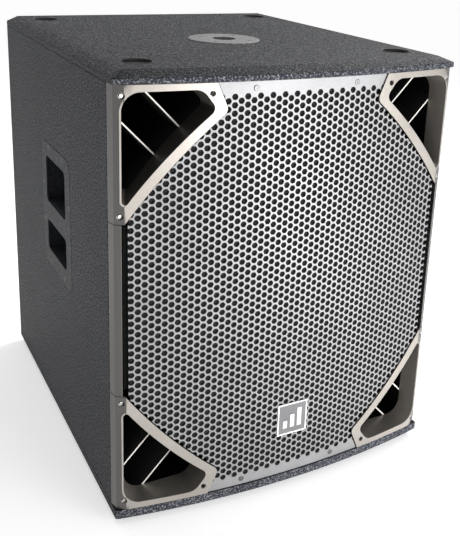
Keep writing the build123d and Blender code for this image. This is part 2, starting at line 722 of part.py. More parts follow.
def left_handle():
    """Moulded plate with a bar across it, and a closed cup behind for the fingers."""
    face_x = -HALF
    plate = extrude(sideways(face_x) * handle_outline(0.0), amount=-HANDLE_WALL)
    y, z = HANDLE_CENTRE
    half_width = HANDLE_OPENING_WIDTH / 2 + CUP_MARGIN[0]
    low, high = HANDLE_LOWER[0] - CUP_MARGIN[1], HANDLE_UPPER[1] + CUP_MARGIN[1]
    cup = box((face_x + 0.1, y - half_width, low), (face_x + HANDLE_DEPTH, y + half_width, high))
    cup = fillet(cup.edges().filter_by(Axis.X), CUP_ROUNDING)
    cup = fillet(cup.faces().sort_by(Axis.X)[-1].edges(), CUP_FLOOR_ROUNDING)
    w = HANDLE_WALL
    near = (face_x - 1, y - half_width + w, low + w)
    far = (face_x + HANDLE_DEPTH - w, y + half_width - w, high - w)
    room = box(near, far)
    room = fillet(room.edges().filter_by(Axis.X), CUP_ROUNDING - w)
    room = fillet(room.faces().sort_by(Axis.X)[-1].edges(), CUP_FLOOR_ROUNDING - w)
    piece = plate + (cup - room)
    for bottom, top in (HANDLE_LOWER, HANDLE_UPPER):
        opening = Pos(0, (bottom + top) / 2 - z) * RectangleRounded(HANDLE_OPENING_WIDTH, top - bottom, 8)
        piece -= extrude(sideways(face_x + HANDLE_WALL + 1) * opening, amount=HANDLE_WALL + 2)
    bar_low, bar_high = HANDLE_LOWER[1], HANDLE_UPPER[0]
    near = (face_x + 0.5, y - half_width + 1, bar_low)
    far = (face_x + BAR_DEPTH, y + half_width - 1, bar_high)
    bar = box(near, far)
    bar = fillet(bar.edges().filter_by(Axis.Y), BAR_ROUNDING)
    piece += bar
    for sy, sz in handle_screw_places():
        piece -= sideways_rod(sy, sz, 2.2, face_x - 1, face_x + HANDLE_WALL + 1)
        piece -= sideways_rod(sy, sz, 4.0, face_x - 1, face_x + 1.4)
    return piece


def handle_screw_places():
    """Eight screws round the plate: two along the top and bottom, two down each side."""
    y, z = HANDLE_CENTRE
    across, up = HANDLE_PLATE[0] / 2 - 7, HANDLE_PLATE[1] / 2 - 8
    ends = [(y + s * 40, z + t * up) for s in (-1, 1) for t in (-1, 1)]
    sides = [(y + s * across, z + t * 32) for s in (-1, 1) for t in (-1, 1)]
    return ends + sides


def sideways_rod(y, z, radius, x0, x1):
    """A round bar along X."""
    return Pos((x0 + x1) / 2, y, z) * Rot(0, 90, 0) * Cylinder(radius, x1 - x0)


def handle_screws():
    screws = []
    for y, z in handle_screw_places():
        head = sideways_rod(y, z, 3.6, -HALF + 0.2, -HALF + 1.4)
        head -= box((-HALF, y - 2, z - 0.45), (-HALF + 0.8, y + 2, z + 0.45))
        head -= box((-HALF, y - 0.45, z - 2), (-HALF + 0.8, y + 0.45, z + 2))
        screws.append(head + sideways_rod(y, z, 1.7, -HALF + 1.3, -HALF + 14))
    return screws + [mirror(s, about=Plane.YZ) for s in screws]


save(left_handle(), "handle_left")
save(mirror(left_handle(), about=Plane.YZ), "handle_right")
save(Compound(handle_screws()), "handle_screws")


# Pole socket, stacking cups and feet --------------------------------------------------------

def pole_socket():
    x, y = SOCKET_PLACE
    top = BOX_TOP + FLANGE_PROUD
    disc = Pos(x, y, top - FLANGE_DISC / 2) * Cylinder(FLANGE_DISC_RADIUS, FLANGE_DISC)
    disc = chamfer(disc.edges().group_by(Axis.Z)[-1], 0.8)
    tube_length = SOCKET_DEPTH + SOCKET_WALL
    piece = disc + Pos(x, y, top - tube_length / 2) * Cylinder(SOCKET_RADIUS + SOCKET_WALL, tube_length)
    piece -= Pos(x, y, top - SOCKET_DEPTH / 2) * Cylinder(SOCKET_RADIUS, SOCKET_DEPTH)
    for sx, sy in flange_screw_places():
        piece -= Pos(sx, sy, top) * Cylinder(2.3, 4 * FLANGE_DISC)
        piece -= Pos(sx, sy, top) * Cone(2.3, 4.6, 2.4, align=(Align.CENTER, Align.CENTER, Align.MAX))
    return piece


def flange_screw_places():
    x, y = SOCKET_PLACE
    half = FLANGE_SCREW_CIRCLE / math.sqrt(2)
    return [(x + s * half, y + t * half) for s in (-1, 1) for t in (-1, 1)]


def flange_screws():
    screws = []
    top = BOX_TOP + FLANGE_PROUD
    for x, y in flange_screw_places():
        head = Pos(x, y, top - 0.1) * Cone(2.0, 4.2, 2.2, align=(Align.CENTER, Align.CENTER, Align.MAX))
        head -= Pos(x, y, top) * Box(4.0, 0.9, 1.6)
        head -= Pos(x, y, top) * Box(0.9, 4.0, 1.6)
        screws.append(head + Pos(x, y, top - 8) * Cylinder(1.9, 13))
    return Compound(screws)


def stacking_cups():
    cups = []
    rim, height = BOX_TOP + CUP_PROUD, CUP_DEPTH + TRIM_FIT
    for x, y in cup_places():
        cup = Pos(x, y, rim - height / 2) * Cylinder(CUP_RADIUS - 0.1, height)
        room = Pos(x, y, rim) * Cylinder(CUP_RADIUS - CUP_WALL, 2 * (CUP_DEPTH - CUP_WALL))
        cups.append(cup - room)
    return Compound(cups)


def foot(x, y):
    piece = Pos(x, y, FOOT_HEIGHT / 2) * Cone(FOOT_RADIUS - FOOT_TAPER, FOOT_RADIUS, FOOT_HEIGHT)
    piece -= Pos(x, y, 0) * Cylinder(FOOT_BORE_RADIUS, 2 * FOOT_BORE_DEPTH)
    return piece - Pos(x, y, FOOT_HEIGHT) * Cylinder(2.6, 2 * FOOT_HEIGHT)


def foot_screws():
    screws = []
    for x, y in cup_places():
        head = Pos(x, y, FOOT_BORE_DEPTH - 1.2) * Cylinder(5.0, 2.4)
        head -= Pos(x, y, 2.1) * Box(5.0, 1.0, 1.8)
        screws.append(head + Pos(x, y, 12.0) * Cylinder(2.0, 15.0))
    return Compound(screws)


save(pole_socket(), "pole_socket")
save(flange_screws(), "flange_screws")
save(stacking_cups(), "stacking_cups")
for name, (x, y) in zip(("front_left", "rear_left", "front_right", "rear_right"), cup_places()):
    save(foot(x, y), "foot_" + name)
save(foot_screws(), "foot_screws")


# Connector dish in the back -----------------------------------------------------------------

DISH_FLOOR = BACK_PANEL_REAR + DISH_WALL - DISH_DEPTH


def dish():
    here = Pos(0, DISH_CENTRE_Z - MIDDLE)
    rear = BACK_PANEL_REAR + DISH_WALL
    width, height = DISH_POCKET
    plate = through(here * RectangleRounded(*DISH_PLATE, 10), BACK_PANEL_REAR, rear)
    shell = RectangleRounded(width + 2 * DISH_WALL, height + 2 * DISH_WALL, DISH_CORNER)
    plate += through(here * shell, DISH_FLOOR - DISH_WALL, rear)
    plate -= through(here * RectangleRounded(width, height, DISH_CORNER - DISH_WALL), DISH_FLOOR, rear + 1)
    for x in (-PLUG_SOCKET_X, PLUG_SOCKET_X):
        hole_radius = PLUG_WALL_RADIUS + PLUG_BODY_WALL + FIT
        plate -= rod(x, DISH_CENTRE_Z, hole_radius, DISH_FLOOR - PAST, DISH_FLOOR + PAST)
    for x, z in dish_screw_places():
        plate -= rod(x, z, 2.2, BACK_PANEL_REAR - 1, rear + 1)
    return plate


def dish_screw_places():
    across, up = DISH_PLATE[0] / 2 - 8, DISH_PLATE[1] / 2 - 8
    return [(s * across, DISH_CENTRE_Z + t * up) for s in (-1, 1) for t in (-1, 1)]


def rear_screw(x, z, seat_y, length):
    """A pan-head screw driven in from the back, its head on seat_y."""
    head = rod(x, z, 3.8, seat_y, seat_y + 2.2)
    head = fillet(head.edges().group_by(Axis.Y)[-1], 0.9)
    for angle in (0, 90):
        cross = Pos(x, z - MIDDLE) * Rot(0, 0, angle) * Rectangle(4.2, CROSS_WIDTH)
        head -= through(cross, seat_y + 1.1, seat_y + 3)
    return head + rod(x, z, 1.5, seat_y - length, seat_y + HAIRLINE)


def plug_socket(x):
    """Round locking socket: a square flange, a deep ring with two key slots, and a core."""
    z = DISH_CENTRE_Z
    plate = Pos(x, z - MIDDLE) * RectangleRounded(*PLUG_FLANGE, 3)
    body = through(plate, DISH_FLOOR, DISH_FLOOR + PLUG_FLANGE_THICKNESS)
    body += rod(x, z, PLUG_WALL_RADIUS + PLUG_BODY_WALL, DISH_FLOOR - 14, DISH_FLOOR + 5)
    body -= rod(x, z, PLUG_WALL_RADIUS, DISH_FLOOR - 12, DISH_FLOOR + 6)
    body += rod(x, z, PLUG_CORE_RADIUS, DISH_FLOOR - 12.5, DISH_FLOOR + 2)
    for screw_x, screw_z in plug_screw_places(x):
        body -= rod(screw_x, screw_z, PILOT_RADIUS, DISH_FLOOR - 1, DISH_FLOOR + 4)
    return body


def plug_screw_places(x):
    """The two screws of the socket at x, in opposite corners of its flange."""
    across, up = PLUG_SCREW
    return [(x - across, DISH_CENTRE_Z + up), (x + across, DISH_CENTRE_Z - up)]


def plug_socket_screws():
    screws = []
    seat = DISH_FLOOR + PLUG_FLANGE_THICKNESS
    for x, z in plug_screw_places(-PLUG_SOCKET_X) + plug_screw_places(PLUG_SOCKET_X):
        head = rod(x, z, 2.7, seat, seat + 1.6)
        head -= through(Pos(x, z - MIDDLE) * Rectangle(3.6, CROSS_WIDTH), seat + 0.8, seat + 3)
        screws.append(head + rod(x, z, 1.3, DISH_FLOOR - 8, seat + 0.1))
    return Compound(screws)


save(dish(), "connector_dish")
save(plug_socket(-PLUG_SOCKET_X), "speaker_socket_1")
save(plug_socket(PLUG_SOCKET_X), "speaker_socket_2")
rear_face = BACK_PANEL_REAR + DISH_WALL
save(Compound([rear_screw(x, z, rear_face, 20.0) for x, z in dish_screw_places()]), "dish_screws")
save(plug_socket_screws(), "speaker_socket_screws")
brace_low = (-INNER_HALF_WIDTH, BRACE_FRONT, MIDDLE - BRACE_HALF_HEIGHT)
brace_high = (INNER_HALF_WIDTH, BRACE_FRONT + WOOD, MIDDLE + BRACE_HALF_HEIGHT)
save(box(brace_low, brace_high), "cross_brace")
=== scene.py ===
import math

import bpy
from mathutils import Matrix, Vector


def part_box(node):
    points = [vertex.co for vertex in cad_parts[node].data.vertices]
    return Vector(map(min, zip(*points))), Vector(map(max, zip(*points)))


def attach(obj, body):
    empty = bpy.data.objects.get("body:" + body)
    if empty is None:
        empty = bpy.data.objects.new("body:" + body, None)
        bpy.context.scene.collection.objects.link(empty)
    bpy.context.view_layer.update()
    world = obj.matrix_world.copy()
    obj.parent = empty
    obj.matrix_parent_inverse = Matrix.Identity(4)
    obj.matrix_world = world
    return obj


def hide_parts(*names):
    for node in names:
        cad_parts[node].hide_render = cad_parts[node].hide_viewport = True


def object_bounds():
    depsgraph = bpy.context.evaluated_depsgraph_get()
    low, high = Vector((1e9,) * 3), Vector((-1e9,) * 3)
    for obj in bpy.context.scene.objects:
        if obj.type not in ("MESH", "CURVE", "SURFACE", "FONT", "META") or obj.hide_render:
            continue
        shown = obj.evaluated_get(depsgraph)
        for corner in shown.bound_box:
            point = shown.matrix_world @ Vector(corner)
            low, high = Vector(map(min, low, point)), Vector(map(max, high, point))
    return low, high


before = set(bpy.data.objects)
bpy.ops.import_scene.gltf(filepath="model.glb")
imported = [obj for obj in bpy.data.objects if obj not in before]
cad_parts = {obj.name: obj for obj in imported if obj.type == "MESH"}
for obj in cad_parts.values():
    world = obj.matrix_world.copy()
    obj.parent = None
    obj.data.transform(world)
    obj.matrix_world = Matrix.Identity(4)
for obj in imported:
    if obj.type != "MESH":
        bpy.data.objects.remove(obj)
cad_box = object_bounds()


# Plywood box -----------------------------------------------------------------------------------
# Seven panels of birch plywood, glued and pinned, then sprayed with a thick textured paint that
# dries as a coarse grain of small shiny bumps. The edges come out of the paint softly rounded, and
# the narrow faces that look straight ahead carry a painted highlight that makes them sparkle more.

PAINT = (0.0105, 0.0115, 0.0145, 1.0)
PAINT_FLECK = (0.080, 0.082, 0.090, 1.0)
PAINT_GRAIN = 400.0
# How much brighter the painted highlight on the front-facing faces is.
FRONT_HIGHLIGHT_GAIN = 3.0
PANEL_ROUNDING = 0.0012
WELD = 0.000001
FLAT_WITHIN = math.radians(0.4)
SMOOTH_WITHIN = math.radians(40)
INNER_FACE = 0.0001
INNER_HALF_WIDTH = 0.25


def add_node(tree, kind, settings=None, **inputs):
    """Adds a shader node; an input is a value, or a socket to link from."""
    made = tree.nodes.new("ShaderNode" + kind)
    for key, value in (settings or {}).items():
        setattr(made, key, value)
    for key, value in inputs.items():
        socket = made.inputs[key.replace("_", " ")]
        if isinstance(value, bpy.types.NodeSocket):
            tree.links.new(value, socket)
        else:
            socket.default_value = value
    return made


def math_node(tree, operation, *values):
    """One sum, product or the like, of values or sockets; gives its result."""
    made = add_node(tree, "Math", {"operation": operation})
    for socket, value in zip(made.inputs, values):
        if isinstance(value, bpy.types.NodeSocket):
            tree.links.new(value, socket)
        else:
            socket.default_value = value
    return made.outputs[0]


def new_group(name, inputs, outputs):
    """An empty node group with named colour and number sockets."""
    tree = bpy.data.node_groups.new(name, "ShaderNodeTree")
    kinds = {"color": "NodeSocketColor", "value": "NodeSocketFloat", "vector": "NodeSocketVector"}
    for socket, kind in inputs:
        tree.interface.new_socket(socket, in_out="INPUT", socket_type=kinds[kind])
    for socket, kind in outputs:
        tree.interface.new_socket(socket, in_out="OUTPUT", socket_type=kinds[kind])
    return tree, tree.nodes.new("NodeGroupInput"), tree.nodes.new("NodeGroupOutput")


SURFACE = (("Color", "color"), ("Roughness", "value"), ("Normal", "vector"))


def grain_group():
    """Sprayed or moulded grain: small bumps, paler on top, with slow changes of shade across a panel."""
    tree, given, out = new_group(
        "surface_grain",
        (("Base", "color"), ("Fleck", "color"), ("Grain", "value"), ("Height", "value"),
         ("Low roughness", "value"), ("High roughness", "value")),
        SURFACE)
    place = add_node(tree, "TexCoord").outputs["Object"]
    coarse = add_node(tree, "TexNoise", Vector=place, Scale=given.outputs["Grain"], Detail=2.0, Roughness=0.6)
    slow = add_node(tree, "TexNoise", Vector=place, Scale=7.0, Detail=3.0, Roughness=0.55)
    peaks = add_node(tree, "MapRange", Value=coarse.outputs[0], From_Min=0.50, From_Max=0.66)
    shade = add_node(tree, "MapRange", Value=slow.outputs[0], From_Min=0.3, From_Max=0.7, To_Min=0.86,
                     To_Max=1.12)
    mixed = add_node(tree, "MixRGB", Fac=peaks.outputs[0], Color1=given.outputs["Base"],
                     Color2=given.outputs["Fleck"])
    toned = add_node(tree, "VectorMath", {"operation": "SCALE"}, Vector=mixed.outputs[0],
                     Scale=shade.outputs[0])
    rough = add_node(tree, "MapRange", Value=coarse.outputs[0], From_Min=0.35, From_Max=0.7,
                     To_Min=given.outputs["High roughness"], To_Max=given.outputs["Low roughness"])
    bump = add_node(tree, "Bump", Strength=1.0, Distance=given.outputs["Height"], Height=coarse.outputs[0])
    tree.links.new(toned.outputs[0], out.inputs["Color"])
    tree.links.new(rough.outputs[0], out.inputs["Roughness"])
    tree.links.new(bump.outputs[0], out.inputs["Normal"])
    return tree


def finish(name, group, values, **shader):
    """A material whose colour, roughness and bumps come from a group; the rest is set on the shader."""
    made = bpy.data.materials.new(name)
    made.use_nodes = True
    tree = made.node_tree
    principled = tree.nodes["Principled BSDF"]
    surface = tree.nodes.new("ShaderNodeGroup")
    surface.node_tree = group
    for key, value in values.items():
        surface.inputs[key].default_value = value
    for output, socket in (("Color", "Base Color"), ("Roughness", "Roughness"), ("Normal", "Normal")):
        tree.links.new(surface.outputs[output], principled.inputs[socket])
    for key, value in shader.items():
        principled.inputs[key.replace("_", " ")].default_value = value
    return made


def sprayed_colour(tree):
    """The colour that a material's group gives, before anything is laid over it."""
    return next(node for node in tree.nodes if node.type == "GROUP").outputs["Color"]


def use_colour(tree, colour):
    tree.links.new(colour, tree.nodes["Principled BSDF"].inputs["Base Color"])


def select_only(piece):
    bpy.ops.object.select_all(action="DESELECT")
    piece.select_set(True)
    bpy.context.view_layer.objects.active = piece


def pick_faces(piece, where):
    """Selects the faces that where picks, and nothing else, for the next edit-mode operator."""
    select_only(piece)
    bpy.ops.object.mode_set(mode="EDIT")
    bpy.ops.mesh.select_mode(type="FACE")
    bpy.ops.mesh.select_all(action="DESELECT")
    bpy.ops.object.mode_set(mode="OBJECT")
    for face in piece.data.polygons:
        face.select = where(face)


def apply_modifier(piece, kind, **settings):
    """Adds a modifier with its settings and applies it."""
    select_only(piece)
    added = piece.modifiers.new(kind.lower(), kind)
    for key, value in settings.items():
        setattr(added, key, value)
    bpy.ops.object.modifier_apply(modifier=added.name)


def paint(piece, material):
    """Gives a piece its one material."""
    piece.data.materials.clear()
    piece.data.materials.append(material)


def rounded_copy(node, width, angle=30.0):
    """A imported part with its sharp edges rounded, which then stands for that part."""
    piece = bpy.data.objects.new(node + "_rounded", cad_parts[node].data.copy())
    bpy.context.scene.collection.objects.link(piece)
    select_only(piece)
    bpy.ops.object.mode_set(mode="EDIT")
    bpy.ops.mesh.select_all(action="SELECT")
    bpy.ops.mesh.customdata_custom_splitnormals_clear()
    bpy.ops.mesh.remove_doubles(threshold=WELD)
    bpy.ops.mesh.dissolve_limited(angle_limit=FLAT_WITHIN)
    bpy.ops.object.mode_set(mode="OBJECT")
    apply_modifier(piece, "BEVEL", width=width, segments=2, limit_method="ANGLE",
                   angle_limit=math.radians(angle))
    bpy.ops.object.shade_smooth_by_angle(angle=SMOOTH_WITHIN)
    apply_modifier(piece, "WEIGHTED_NORMAL", keep_sharp=True)
    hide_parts(node)
    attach(piece, "cabinet")
    return piece


def paint_highlight_on_front_faces(material):
    """The painted highlight: brighter grain on the faces that look straight ahead."""
    tree = material.node_tree
    facing = add_node(tree, "SeparateXYZ", Vector=add_node(tree, "NewGeometry").outputs["Normal"])
    front_highlight = add_node(tree, "MapRange", Value=facing.outputs["Y"], From_Min=-0.8, From_Max=-0.95, To_Min=1.0,
                     To_Max=FRONT_HIGHLIGHT_GAIN)
    brighter = add_node(tree, "VectorMath", {"operation": "SCALE"}, Vector=sprayed_colour(tree),
                        Scale=front_highlight.outputs[0])
    use_colour(tree, brighter.outputs[0])


grain = grain_group()
cabinet_paint = finish(
    "cabinet_paint", grain,
    {"Base": PAINT, "Fleck": PAINT_FLECK, "Grain": PAINT_GRAIN, "Height": 0.0026,
     "Low roughness": 0.36, "High roughness": 0.70},
    Specular_IOR_Level=0.12)
# Painted highlight on the faces that look straight ahead.
paint_highlight_on_front_faces(cabinet_paint)
# Near-black for the insides of the box, which is painted shade.
painted_shade_black = finish(
    "painted_shade_black", grain,
    {"Base": (0.004, 0.004, 0.004, 1.0), "Fleck": (0.008, 0.008, 0.008, 1.0), "Grain": 900.0,
     "Height": 0.0003, "Low roughness": 0.75, "High roughness": 0.95},
    Specular_IOR_Level=0.2)
CENTRE = (Vector(cad_box[0]) + Vector(cad_box[1])) / 2
PANELS = (("top_panel", (0, 0, -1)), ("bottom_panel", (0, 0, 1)), ("left_side_panel", (1, 0, 0)),
          ("right_side_panel", (-1, 0, 0)), ("back_panel", (0, -1, 0)))
for node, inwards in PANELS:
    panel = rounded_copy(node, PANEL_ROUNDING)
    paint(panel, cabinet_paint)
    panel.data.materials.append(painted_shade_black)
    # The inner faces near the middle take the painted-shade black.
    inner = max(face.center.dot(Vector(inwards)) for face in panel.data.polygons)
    for face in panel.data.polygons:
        lies_inside = face.center.dot(Vector(inwards)) > inner - INNER_FACE
        face.material_index = 1 if lies_inside and abs(face.center.x) < INNER_HALF_WIDTH else 0


# Inside of the box ------------------------------------------------------------------------------
# The baffle, the port boards and the battens are the same plywood, rolled with matt black that is
# darkened to near black as painted shade for the inside of the box and its ports. The brace behind them is
# left bare.

def plywood_group():
    """Bare birch ply: pale face veneer with a fine lengthwise figure."""
    tree, given, out = new_group("plywood_figure", (("Pale", "color"), ("Dark", "color")), SURFACE)
    place = add_node(tree, "TexCoord").outputs["Object"]
    drawn = add_node(tree, "Mapping", Vector=place)
    drawn.inputs["Scale"].default_value = (9.0, 160.0, 160.0)
    figure = add_node(tree, "TexNoise", Vector=drawn.outputs[0], Scale=1.0, Detail=5.0, Distortion=1.2)
    contrast = add_node(tree, "MapRange", Value=figure.outputs[0], From_Min=0.35, From_Max=0.65)
    mixed = add_node(tree, "MixRGB", Fac=contrast.outputs[0], Color1=given.outputs["Pale"],
                     Color2=given.outputs["Dark"])
    rough = add_node(tree, "MapRange", Value=figure.outputs[0], To_Min=0.55, To_Max=0.8)
    bump = add_node(tree, "Bump", Strength=0.5, Distance=0.0003, Height=figure.outputs[0])
    tree.links.new(mixed.outputs[0], out.inputs["Color"])
    tree.links.new(rough.outputs[0], out.inputs["Roughness"])
    tree.links.new(bump.outputs[0], out.inputs["Normal"])
    return tree


bare_ply = finish("bare_ply", plywood_group(),
                  {"Pale": (0.60, 0.46, 0.30, 1.0), "Dark": (0.42, 0.29, 0.16, 1.0)})
CORNERS = ("top_left", "top_right", "bottom_left", "bottom_right")
for node in ["baffle"] + ["port_board_" + corner for corner in CORNERS]:
    paint(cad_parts[node], painted_shade_black)
for node in ("batten_top", "batten_bottom", "batten_left", "batten_right"):
    paint(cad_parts[node], painted_shade_black)
paint(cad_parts["cross_brace"], bare_ply)


# Corner trims, side strips and port fins ---------------------------------------------------------
# Injection-moulded trims, one over each port, sprayed with a warm grey metallic lacquer. Their lips
# are thin and softly rounded. Painted shade darkens their walls and bevels that turn outwards.
# The fins inside the ports carry the lacquer on their front edges, and their sides are painted black as
# painted shade.

LACQUER = (0.44, 0.41, 0.375, 1.0)
LACQUER_DARK = (0.34, 0.315, 0.285, 1.0)
# Colour of the painted shade on the trims' outward-turned walls and bevels.
PAINTED_SHADE_LACQUER = (0.115, 0.11, 0.106, 1.0)
FIN_EDGE = (0.75, 0.72, 0.68, 1.0)


def lacquer_group():
    """Metallic lacquer: fine bright flakes under a soft orange-peel surface."""
    tree, given, out = new_group(
        "metallic_lacquer",
        (("Pale", "color"), ("Dark", "color"), ("Flakes", "value"), ("Height", "value"), ("Gloss", "value")),
        SURFACE)
    place = add_node(tree, "TexCoord").outputs["Object"]
    flakes = add_node(tree, "TexVoronoi", Vector=place, Scale=given.outputs["Flakes"])
    flake_shade = add_node(tree, "SeparateColor", Color=flakes.outputs["Color"])
    cloud = add_node(tree, "TexNoise", Vector=place, Scale=22.0, Detail=3.0)
    both = math_node(tree, "MULTIPLY_ADD", flake_shade.outputs[0], 0.55, cloud.outputs[0])
    amount = add_node(tree, "MapRange", Value=both, From_Min=0.35, From_Max=1.2)
    mixed = add_node(tree, "MixRGB", Fac=amount.outputs[0], Color1=given.outputs["Dark"],
                     Color2=given.outputs["Pale"])
    peel = add_node(tree, "TexNoise", Vector=place, Scale=420.0, Detail=2.0)
    rough = math_node(tree, "MULTIPLY_ADD", peel.outputs[0], 0.16, given.outputs["Gloss"])
    bump = add_node(tree, "Bump", Strength=0.6, Distance=given.outputs["Height"], Height=peel.outputs[0])
    tree.links.new(mixed.outputs[0], out.inputs["Color"])
    tree.links.new(rough, out.inputs["Roughness"])
    tree.links.new(bump.outputs[0], out.inputs["Normal"])
    return tree


lacquer = lacquer_group()
trim_lacquer = finish(
    "trim_lacquer", lacquer,
    {"Pale": LACQUER, "Dark": LACQUER_DARK, "Flakes": 1500.0, "Height": 0.00012, "Gloss": 0.30},
    Metallic=0.85)


def paint_shade_on_outward_walls(material):
    """Painted shade: a darker lacquer on walls and bevels that turn outwards, away from the middle of the
    front.
    """
    tree = material.node_tree
    geometry = add_node(tree, "NewGeometry")
    from_middle = add_node(tree, "Mapping", Vector=add_node(tree, "TexCoord").outputs["Object"])
    from_middle.inputs["Location"].default_value = (-CENTRE.x, 0.0, -CENTRE.z)
    from_middle.inputs["Scale"].default_value = (1.0, 0.0, 1.0)
    outwards = add_node(tree, "VectorMath", {"operation": "DOT_PRODUCT"})
    tree.links.new(from_middle.outputs[0], outwards.inputs[0])
    tree.links.new(geometry.outputs["Normal"], outwards.inputs[1])
    turned_out = add_node(tree, "MapRange", Value=outwards.outputs["Value"], From_Min=0.07, From_Max=0.12)
    facing = add_node(tree, "SeparateXYZ", Vector=geometry.outputs["Normal"])
    steep = add_node(tree, "MapRange", Value=facing.outputs["Y"], From_Min=-0.94, From_Max=-0.87)
    outward_shade = math_node(tree, "MULTIPLY", turned_out.outputs[0], steep.outputs[0])
    colour = add_node(tree, "MixRGB", Fac=outward_shade, Color1=sprayed_colour(tree), Color2=PAINTED_SHADE_LACQUER)
    use_colour(tree, colour.outputs[0])


# Painted shade on the trims' and strips' outward-turned walls and bevels.
paint_shade_on_outward_walls(trim_lacquer)
for corner in CORNERS:
    paint(rounded_copy("corner_trim_" + corner, 0.0007, 28.0), trim_lacquer)
for node in ("side_strip_left", "side_strip_right"):
    paint(rounded_copy(node, 0.0006, 20.0), trim_lacquer)


def edged_fin():
    """Fin whose sides are painted black as painted shade, and whose front edge alone carries the lacquer."""
    # The near-black base is painted shade on the fin's sides.
    made = finish("edged_fin", grain,
                  {"Base": (0.012, 0.012, 0.013, 1.0), "Fleck": (0.02, 0.02, 0.02, 1.0), "Grain": 700.0,
                   "Height": 0.0002, "Low roughness": 0.5, "High roughness": 0.8})
    tree = made.node_tree
    facing = add_node(tree, "SeparateXYZ", Vector=add_node(tree, "NewGeometry").outputs["Normal"])
    front = add_node(tree, "MapRange", Value=facing.outputs["Y"], From_Min=-0.9, From_Max=-0.95)
    edge = add_node(tree, "MixRGB", Fac=front.outputs[0], Color1=sprayed_colour(tree), Color2=FIN_EDGE)
    use_colour(tree, edge.outputs[0])
    return made


fin_finish = edged_fin()
for corner in CORNERS:
    paint(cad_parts["port_fins_" + corner], fin_finish)


# Grille ------------------------------------------------------------------------------------------
# One sheet of 1.5 mm steel, punched with staggered rounded hexagons, rolled to the cabinet's bow and
# powder coated silver grey. The top and bottom margins, where its screws go, are left unpunched.

GRILLE_LOW, GRILLE_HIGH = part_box("grille")
MIDDLE_Z = (GRILLE_LOW.z + GRILLE_HIGH.z) / 2
SHEET = 0.0015
COLUMN = 0.00895
PITCH = 0.01093
WEB = 0.0026
CORNER_CUT = 0.0009
ROWS = 53
COLUMNS = 29
BOW_RADIUS = (0.265 ** 2 + 0.025 ** 2) / (2 * 0.025)
SHOULDER = 0.2673
ARC_CENTRE = (-0.3563, -0.3084)
ARC_RADIUS = 0.7428
ARC_ANGLES = [math.radians(36.6 + 2.15 * i) for i in range(7)]
SHOULDER_POINT = (0.1304, 0.304)
SHOULDER_NORMAL = (0.918, -0.397)
SAME_CORNER = 0.00002
AHEAD = 0.1


def flat_hexagon(radius, height, place):
    """A hexagon standing on a flat side, in the plane of the front."""
    bpy.ops.mesh.primitive_circle_add(vertices=6, radius=radius, fill_type="NOTHING", location=place,
                                      rotation=(math.pi / 2, math.pi / 6, 0))
    made = bpy.context.object
    bpy.ops.object.transform_apply()
    bpy.ops.object.mode_set(mode="EDIT")
    bpy.ops.mesh.select_all(action="SELECT")
    bpy.ops.transform.resize(value=(1, 1, height / (radius * math.sqrt(3))), center_override=place)
    bpy.ops.object.mode_set(mode="OBJECT")
    return made


def cell(x, z, punched):
    """One cell of the sheet's pattern, with or without its hole."""
    bpy.ops.object.select_all(action="DESELECT")
    place = Vector((x, 0, z))
    outer = flat_hexagon(COLUMN / 1.5, PITCH, place)
    if not punched:
        bpy.ops.object.mode_set(mode="EDIT")
        bpy.ops.mesh.edge_face_add()
        bpy.ops.object.mode_set(mode="OBJECT")
        return outer
    flats = PITCH - WEB
    inner = flat_hexagon(flats / math.sqrt(3), flats, place)
    bpy.ops.object.mode_set(mode="EDIT")
    bpy.ops.mesh.bevel(offset=CORNER_CUT, segments=1, affect="VERTICES")
    bpy.ops.object.mode_set(mode="OBJECT")
    outer.select_set(True)
    bpy.ops.object.join()
    bpy.ops.object.mode_set(mode="EDIT")
    bpy.ops.mesh.select_all(action="SELECT")
    bpy.ops.mesh.bridge_edge_loops()
    bpy.ops.object.mode_set(mode="OBJECT")
    return inner


def field(x, z, rows, punched):
    """A block of cells, by copying one across and up."""
    made = cell(x, z, punched)
    for count, step in ((COLUMNS, (2 * COLUMN, 0, 0)), (rows, (0, 0, PITCH))):
        apply_modifier(made, "ARRAY", count=count, use_relative_offset=False, use_constant_offset=True,
                       constant_offset_displace=step)
    return made


def cut_away(piece, point, normal, where):
    """Cuts the faces that where picks by a plane, and drops what lies beyond it."""
    pick_faces(piece, lambda face: where(face.center))
    bpy.ops.object.mode_set(mode="EDIT")
    bpy.ops.mesh.bisect(plane_co=point, plane_no=normal, clear_outer=True)
    bpy.ops.object.mode_set(mode="OBJECT")


def split_level(piece, z):
    """Adds an edge across the sheet at a height, so that cuts can end there."""
    select_only(piece)
    bpy.ops.object.mode_set(mode="EDIT")
    bpy.ops.mesh.select_all(action="SELECT")
    bpy.ops.mesh.bisect(plane_co=(0, 0, z), plane_no=(0, 0, 1))
    bpy.ops.object.mode_set(mode="OBJECT")


